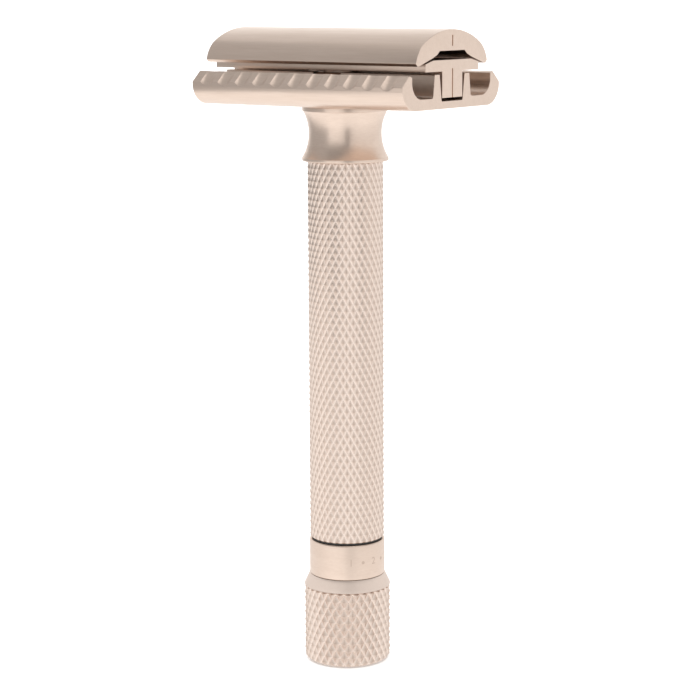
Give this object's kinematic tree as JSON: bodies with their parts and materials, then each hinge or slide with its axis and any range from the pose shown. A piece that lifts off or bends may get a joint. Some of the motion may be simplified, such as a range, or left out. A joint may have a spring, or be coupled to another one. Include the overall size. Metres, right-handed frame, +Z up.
{
  "type": "safety razor",
  "caption": "Adjustable double-edge safety razor: domed cap and floating blade plate over a scalloped guard, knurled handle, dial ring and setting knob.",
  "frame": {"origin": "centre of the knob's flat foot, on the handle's axis", "axes": "+Z up the handle to the head; the two blade edges run along X and the guard's bars face -Y and +Y"},
  "size_m": [0.0422, 0.0274, 0.1064],
  "materials": {
    "satin_metal": "satin, warm nickel tone",
    "spring_steel": "plain bright steel",
    "plain_brass": "turned",
    "black_nylon": "matte"
  },
  "bodies": {
    "handle": {"guard": "satin_metal", "guard_collar": "satin_metal", "neck": "satin_metal", "neck_bush": "plain_brass", "handle_tube": "satin_metal", "plate_spring": "spring_steel", "spring_seat": "plain_brass", "thrust_washer": "plain_brass", "lower_bush": "plain_brass", "friction_ring": "black_nylon"},
    "setting_knob": {"knob": "satin_metal", "dial_ring": "satin_metal", "draw_tube": "plain_brass", "draw_nut": "plain_brass", "knob_screw": "spring_steel"},
    "floating_plate": {"blade_plate": "satin_metal", "plate_plunger": "satin_metal", "plunger_clip": "spring_steel", "spring_washer": "spring_steel"},
    "lift_off_cap": {"cap": "satin_metal", "cap_stud": "satin_metal", "locating_pins": "satin_metal"}
  },
  "joints": [
    {"name": "knob_turn", "type": "hinge", "parent": "handle", "child": "setting_knob", "pos_m": [0, 0, 0], "axis": [0, 0, 1], "range_deg": [-270, 180]},
    {"name": "plate_travel", "type": "slide", "parent": "handle", "child": "floating_plate", "axis": [0, 0, 1], "range_m": [-0.00036, 0.00054], "deforming": ["plate_spring"]},
    {"name": "cap_lift", "type": "slide", "parent": "floating_plate", "child": "lift_off_cap", "axis": [0, 0, 1], "range_m": [0, 0.045]}
  ],
  "couplings": [
    {"joint": "plate_travel", "follows": "knob_turn", "m_per_rad": -0.00011141}
  ]
}
